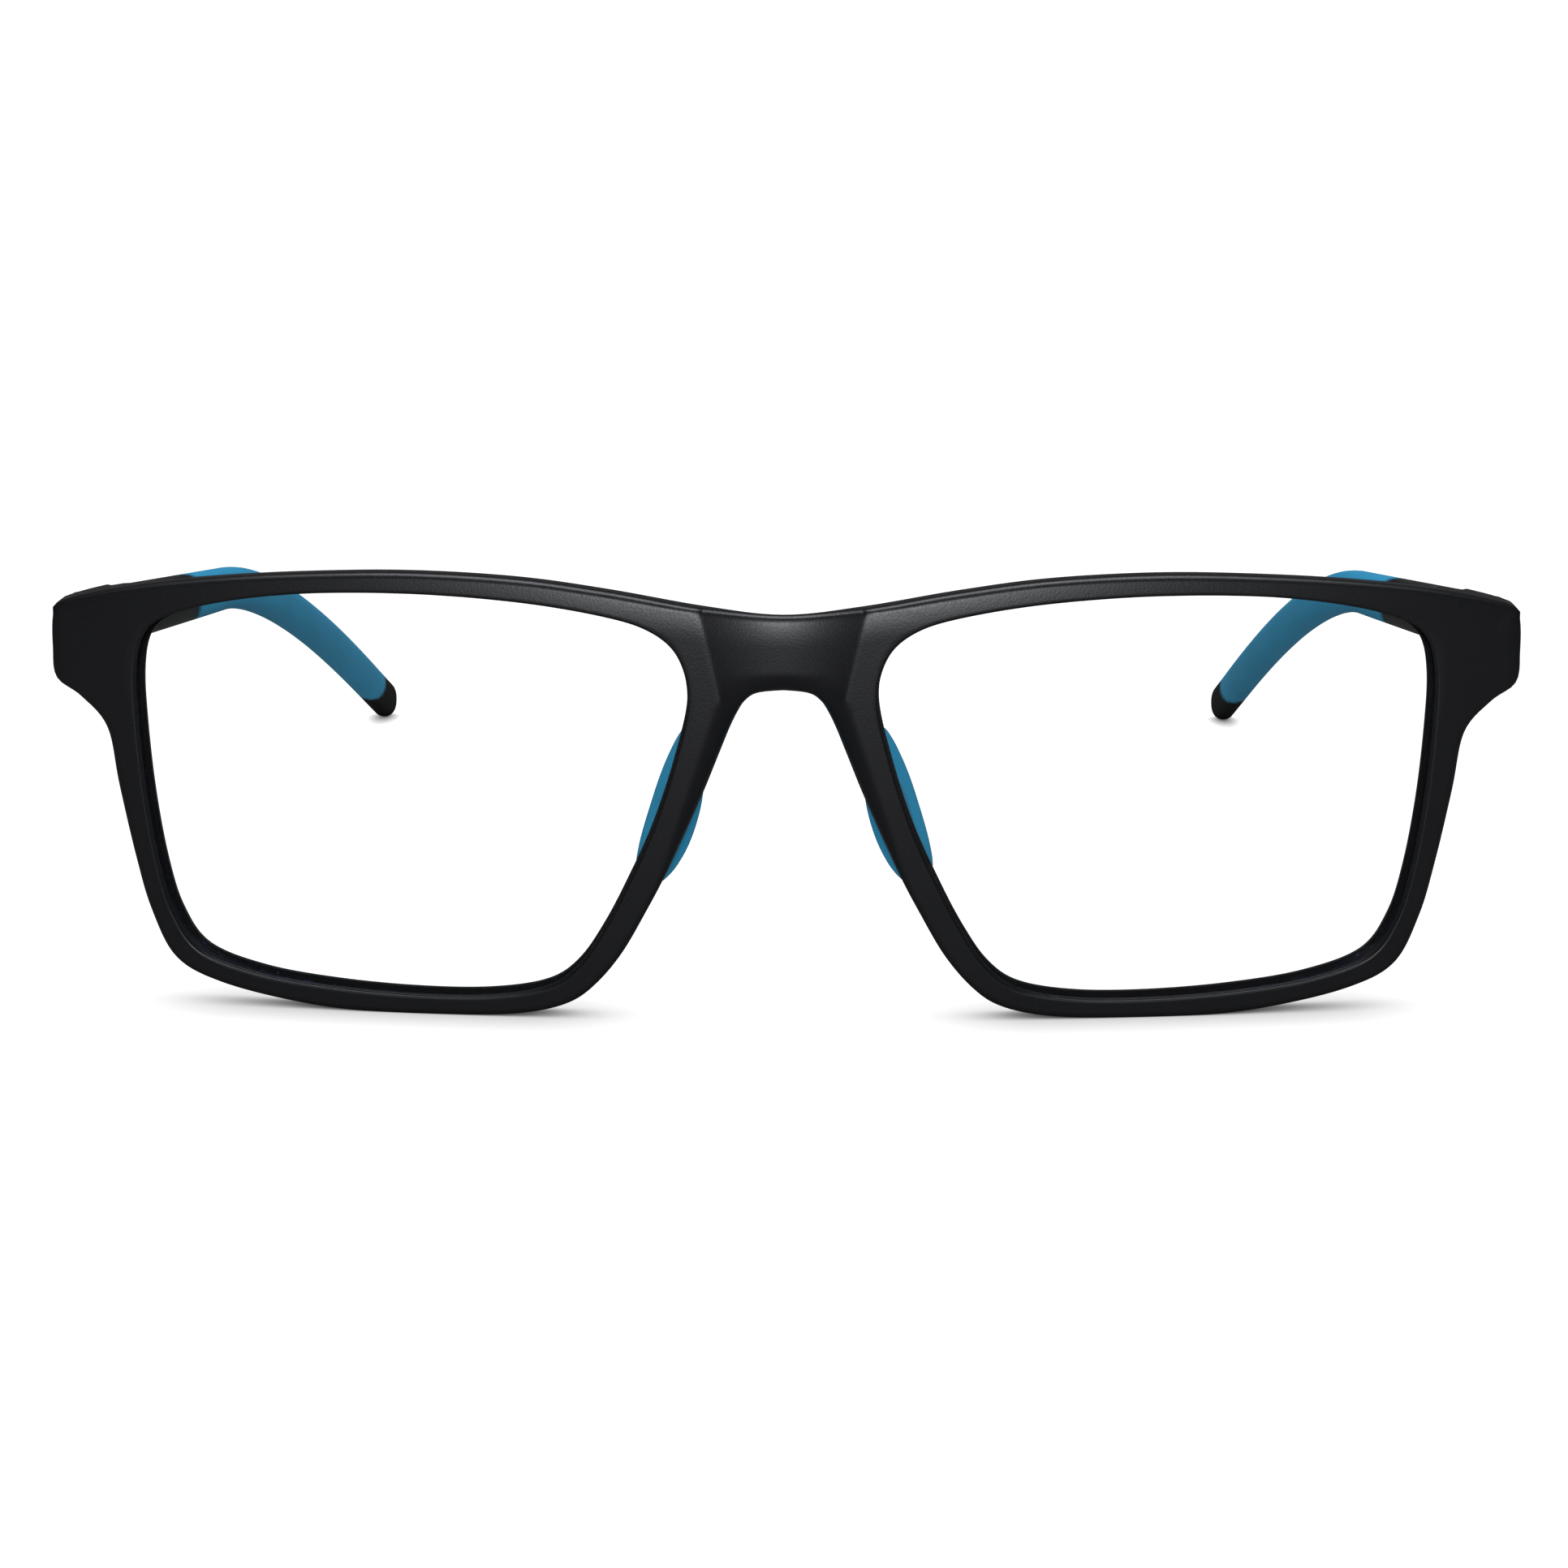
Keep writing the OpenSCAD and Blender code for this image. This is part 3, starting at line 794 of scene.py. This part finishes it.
def soft_blue(shares_black=False):
    """Matt silicone with a slightly uneven bloom. Where the blue share is low, sleeves and tips are black."""
    s = Shader("sleeve_blue" if shares_black else "silicone_blue")
    grain = s.noise(2600, detail=3)
    cloud = s.noise(110, detail=4)
    colour = s.mix(cloud, tuple(0.92 * c for c in BLUE), tuple(1.1 * c for c in BLUE))
    roughness = s.between(grain, 0.5, 0.66)
    if shares_black:
        share = s.add("ShaderNodeAttribute", attribute_name="blue").outputs["Fac"]
        colour = s.mix(share, BLACK, colour)
    s.join(colour, s.surface.inputs["Base Color"])
    s.join(roughness, s.surface.inputs["Roughness"])
    s.surface.inputs["IOR"].default_value = 1.42
    s.surface.inputs["Specular IOR Level"].default_value = 0.25
    s.join(s.bump(grain, 0.00002, 0.4), s.surface.inputs["Normal"])
    return s.material


def brushed_steel():
    """Turned and brushed hinge metal."""
    s = Shader("brushed_steel")
    lines = s.noise(1800, detail=4, stretch=(1, 1, 0.06))
    spots = s.noise(700, detail=2)
    s.join(s.mix(spots, (0.42, 0.43, 0.44), (0.6, 0.6, 0.61)), s.surface.inputs["Base Color"])
    s.surface.inputs["Metallic"].default_value = 1
    s.join(s.between(lines, 0.22, 0.42), s.surface.inputs["Roughness"])
    s.join(s.bump(lines, 0.00001, 0.5), s.surface.inputs["Normal"])
    return s.material


def coated_lens():
    """Clear lens: almost everything passes through, and the coating adds a faint blue-violet reflection."""
    s = Shader("coated_lens")
    drift = s.noise(30, detail=1)
    coating = s.mix(drift, (0.4, 0.45, 0.8), (0.5, 0.44, 0.8))
    clear = s.add("ShaderNodeBsdfTransparent")
    clear.inputs["Color"].default_value = (0.985, 0.992, 0.985, 1)
    shine = s.add("ShaderNodeBsdfGlossy")
    shine.inputs["Roughness"].default_value = 0.03
    s.join(coating, shine.inputs["Color"])
    edge_on = s.add("ShaderNodeLayerWeight")
    edge_on.inputs["Blend"].default_value = 0.12
    amount = s.between(edge_on.outputs["Fresnel"], 0.0, 0.25)
    both = s.add("ShaderNodeMixShader")
    s.join(amount, both.inputs["Fac"])
    s.join(clear.outputs["BSDF"], both.inputs[1])
    s.join(shine.outputs["BSDF"], both.inputs[2])
    s.join(both.outputs["Shader"], s.output.inputs["Surface"])
    return s.material


def studio_floor():
    """White table with a painted soft contact shadow, darkened from occlusion and not cast by the lamps. It glows
    to light what stands on it, but is dark in reflections.
    """
    s = Shader("studio_floor")
    tone = s.noise(6, detail=2)
    # painted contact shadow: occlusion near the glasses dims the floor's white glow as the camera sees it
    near = s.add("ShaderNodeAmbientOcclusion", samples=24)
    s.join(s.between(s.depth_share(), *PAINTED_SHADOW_REACH), near.inputs["Distance"])
    white = s.add("ShaderNodeEmission")
    s.join(s.mix(tone, (1.02, 1.02, 1.02), (1.06, 1.06, 1.06)), white.inputs["Color"])
    s.join(s.between(near.outputs["AO"], *PAINTED_SHADOW_TONE), white.inputs["Strength"])
    s.surface.inputs["Base Color"].default_value = (0.1, 0.1, 0.1, 1)
    s.surface.inputs["Specular IOR Level"].default_value = 0.0
    # painted light: for light that bounces off it the floor glows like a lamp
    glow = s.add("ShaderNodeEmission")
    glow.inputs["Strength"].default_value = FLOOR_GLOW
    seen = s.add("ShaderNodeLightPath")
    shown = s.surface.outputs["BSDF"]
    for ray, light in (("Is Diffuse Ray", glow), ("Is Camera Ray", white)):
        both = s.add("ShaderNodeMixShader")
        s.join(seen.outputs[ray], both.inputs["Fac"])
        s.join(shown, both.inputs[1])
        s.join(light.outputs["Emission"], both.inputs[2])
        shown = both.outputs["Shader"]
    s.join(shown, s.output.inputs["Surface"])
    return s.material


# ---------- build ----------

black = moulded_black()
pad_blue = soft_blue()
sleeve_blue = soft_blue(shares_black=True)
steel = brushed_steel()
lens_clear = coated_lens()

front = build_front(black)
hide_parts("front_frame")
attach(front, "front")

arm_rings = [butt_ring(inset, gap) for inset, gap in ARM_START] + [temple_ring(u) for u in ARM_PLACES]
sleeve_rings = [temple_ring(u) for u in SLEEVE_PLACES]
tip_rings = [temple_ring(u) for u in TIP_PLACES] + tip_cap()

for side, word in ((1, "left"), (-1, "right")):
    lens = build_lens(f"lens_{word}_clear", side, lens_clear)
    pad = build_pad(f"nose_pad_{word}_soft", side, pad_blue)
    foot = build_pad_foot(f"pad_foot_{word}", side, pad_blue)
    arm = make_from_rings(f"arm_{word}_moulded", side, arm_rings, black)
    sleeve = make_from_rings(f"sleeve_{word}_soft", side, sleeve_rings, sleeve_blue)
    end = make_from_rings(f"tip_{word}_soft", side, tip_rings, sleeve_blue)
    for piece in (sleeve, end):
        store_blue_share(piece, side)
    for piece, node, body, slot in (
        (lens, f"lens_{word}", "front", "lens_clear"),
        (pad, f"nose_pad_{word}", "front", "silicone_blue"),
        (foot, None, "front", "silicone_blue"),
        (arm, f"temple_arm_{word}", f"{word}_temple", "frame_black"),
        (sleeve, f"temple_sleeve_{word}", f"{word}_temple", "silicone_blue"),
        (end, f"temple_tip_{word}", f"{word}_temple", "frame_black"),
    ):
        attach(piece, body)
        if node:
            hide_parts(node)

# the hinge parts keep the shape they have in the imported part
for node in frame["nodes"].values():
    if not node.hide_render:
        for material_slot in node.material_slots:
            material_slot.material = steel

# ---------- studio ----------

scene = bpy.context.scene
scene.view_settings.view_transform = "Standard"


def place(x, y, z):
    """Point in metres from millimetres counted from the front apex."""
    return Vector((x, y + apex_y, z)) * MM


def aim(thing, start, target):
    thing.location = start
    thing.rotation_euler = (target - start).to_track_quat("-Z", "Y").to_euler()


FLOOR_HALF = 8
COOL_WHITE = (0.93, 0.95, 1.0)

# name, place in mm, width and height in m, and power in W of each lamp
LAMPS = [
    ("overhead", (0, 60, 700), 0.5, 0.4, 3.2),
    ("back_low", (0, 900, 75), 0.9, 0.06, 0.05),
    ("front_soft", (0, -700, 260), 0.2, 0.14, 2.3),
]
LIT_MIDDLE = (0, 20, 20)

# share of the white surroundings that lights the object, and that shows in its reflections
SKY_SHARES = (("Is Diffuse Ray", 0.7), ("Is Glossy Ray", 0.03))

# camera that matches the photo: places in mm, and film width and focal length in mm
CAMERA_PLACE = (7.4, -400, 114)
CAMERA_TARGET = (0.14, 0, 23.39)
FILM_W = 36
FOCAL_LENGTH = 100.1


def add_light(name, start, target, width, height, power):
    light = bpy.data.lights.new(name, "AREA")
    light.shape = "RECTANGLE"
    light.size = width
    light.size_y = height
    light.energy = power
    light.color = COOL_WHITE
    lamp = bpy.data.objects.new(name, light)
    scene.collection.objects.link(lamp)
    aim(lamp, start, target)


floor_mesh = bpy.data.meshes.new("floor")
floor_corners = [(FLOOR_HALF * x, FLOOR_HALF * y, 0) for x, y in ((-1, -1), (1, -1), (1, 1), (-1, 1))]
floor_mesh.from_pydata(floor_corners, [], [(0, 1, 2, 3)])
floor = bpy.data.objects.new("floor", floor_mesh)
floor_mesh.materials.append(studio_floor())
scene.collection.objects.link(floor)

for name, start, width, height, power in LAMPS:
    add_light(name, place(*start), place(*LIT_MIDDLE), width, height, power)

world = bpy.data.worlds.new("studio")
world.use_nodes = True
sky_path = world.node_tree.nodes.new("ShaderNodeLightPath")
sky = world.node_tree.nodes["Background"]
sky.inputs["Color"].default_value = (1, 1, 1, 1)
strength = sky_path.outputs["Is Camera Ray"]
for kind, share in SKY_SHARES:
    fill = world.node_tree.nodes.new("ShaderNodeMath")
    fill.operation = "MULTIPLY_ADD"
    fill.inputs[1].default_value = share
    world.node_tree.links.new(sky_path.outputs[kind], fill.inputs[0])
    world.node_tree.links.new(strength, fill.inputs[2])
    strength = fill.outputs["Value"]
world.node_tree.links.new(strength, sky.inputs["Strength"])
scene.world = world

camera_data = bpy.data.cameras.new("camera")
camera_data.sensor_width = FILM_W
camera_data.lens = FOCAL_LENGTH
camera = bpy.data.objects.new("camera", camera_data)
scene.collection.objects.link(camera)
aim(camera, place(*CAMERA_PLACE), place(*CAMERA_TARGET))
scene.camera = camera
